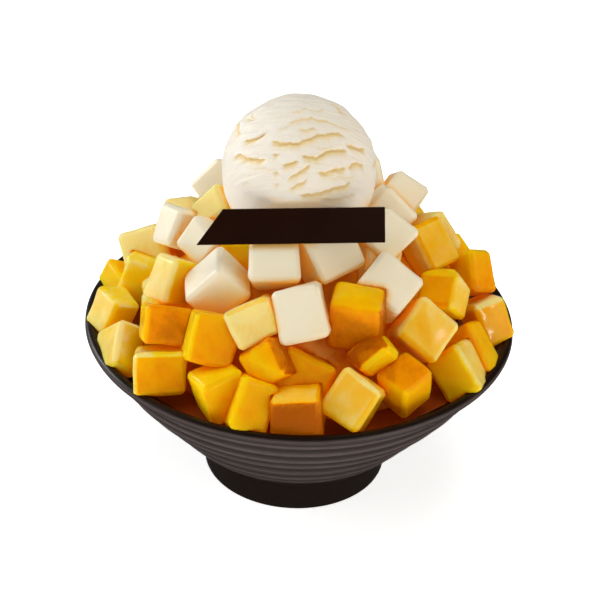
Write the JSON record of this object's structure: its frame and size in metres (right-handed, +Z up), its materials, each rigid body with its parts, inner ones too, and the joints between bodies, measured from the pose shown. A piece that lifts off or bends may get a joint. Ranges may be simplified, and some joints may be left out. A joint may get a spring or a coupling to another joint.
{
  "type": "mango bingsu",
  "caption": "Shaved ice dessert in a ribbed stoneware bowl, heaped with mango and cream cheese cubes, with a scoop of ice cream and a chocolate plaque on top.",
  "frame": {"origin": "middle of the foot, on the table", "axes": "+Z up, -Y towards the front, where the plaque faces, +X to its right"},
  "size_m": [0.196, 0.196, 0.188],
  "materials": {
    "stoneware": "satin dark brown glaze over fine throwing rings",
    "mango": "wet, translucent ripe fruit",
    "cheese": "smooth, moist cream cheese",
    "ice_cream": "matt vanilla ice cream with torn ridges",
    "soaked_ice": "shaved ice soaked with mango syrup",
    "syrup": "glossy dark amber syrup",
    "chocolate": "smooth dark chocolate"
  },
  "bodies": {
    "root": {"bowl": "stoneware", "plaque": "chocolate", "mango_05": "mango", "mango_15": "mango", "mango_14": "mango", "mango_13": "mango", "mango_19": "mango", "mango_20": "mango", "mango_29": "mango", "mango_03": "mango", "mango_02": "mango", "mango_01": "mango", "mango_21": "mango", "mango_17": "mango", "cheese_12": "cheese", "mango_11": "mango", "mango_12": "mango", "mango_16": "mango", "cheese_03": "cheese", "mango_06": "mango", "mango_04": "mango", "mango_07": "mango", "mango_08": "mango", "mango_18": "mango", "mango_28": "mango", "mango_27": "mango", "mango_22": "mango", "mango_26": "mango", "cheese_06": "cheese", "cheese_04": "cheese", "cheese_05": "cheese", "cheese_02": "cheese", "cheese_07": "cheese", "mango_23": "mango", "mango_30": "mango", "cheese_13": "cheese", "cheese_01": "cheese", "mango_09": "mango", "cheese_08": "cheese", "mango_31": "mango", "cheese_11": "cheese", "mango_24": "mango", "mango_25": "mango", "cheese_09": "cheese", "mango_10": "mango", "cheese_10": "cheese", "mango_row_1": "mango", "mango_row_2": "mango", "mango_row_3": "mango", "mango_row_4": "mango", "mango_row_5": "mango", "mango_row_6": "mango", "mango_row_7": "mango", "mango_row_8": "mango", "mango_row_9": "mango", "mango_row_10": "mango", "cheese_row_11": "cheese", "scoop": "ice_cream", "ice": "soaked_ice", "syrup": "syrup"}
  },
  "joints": []
}
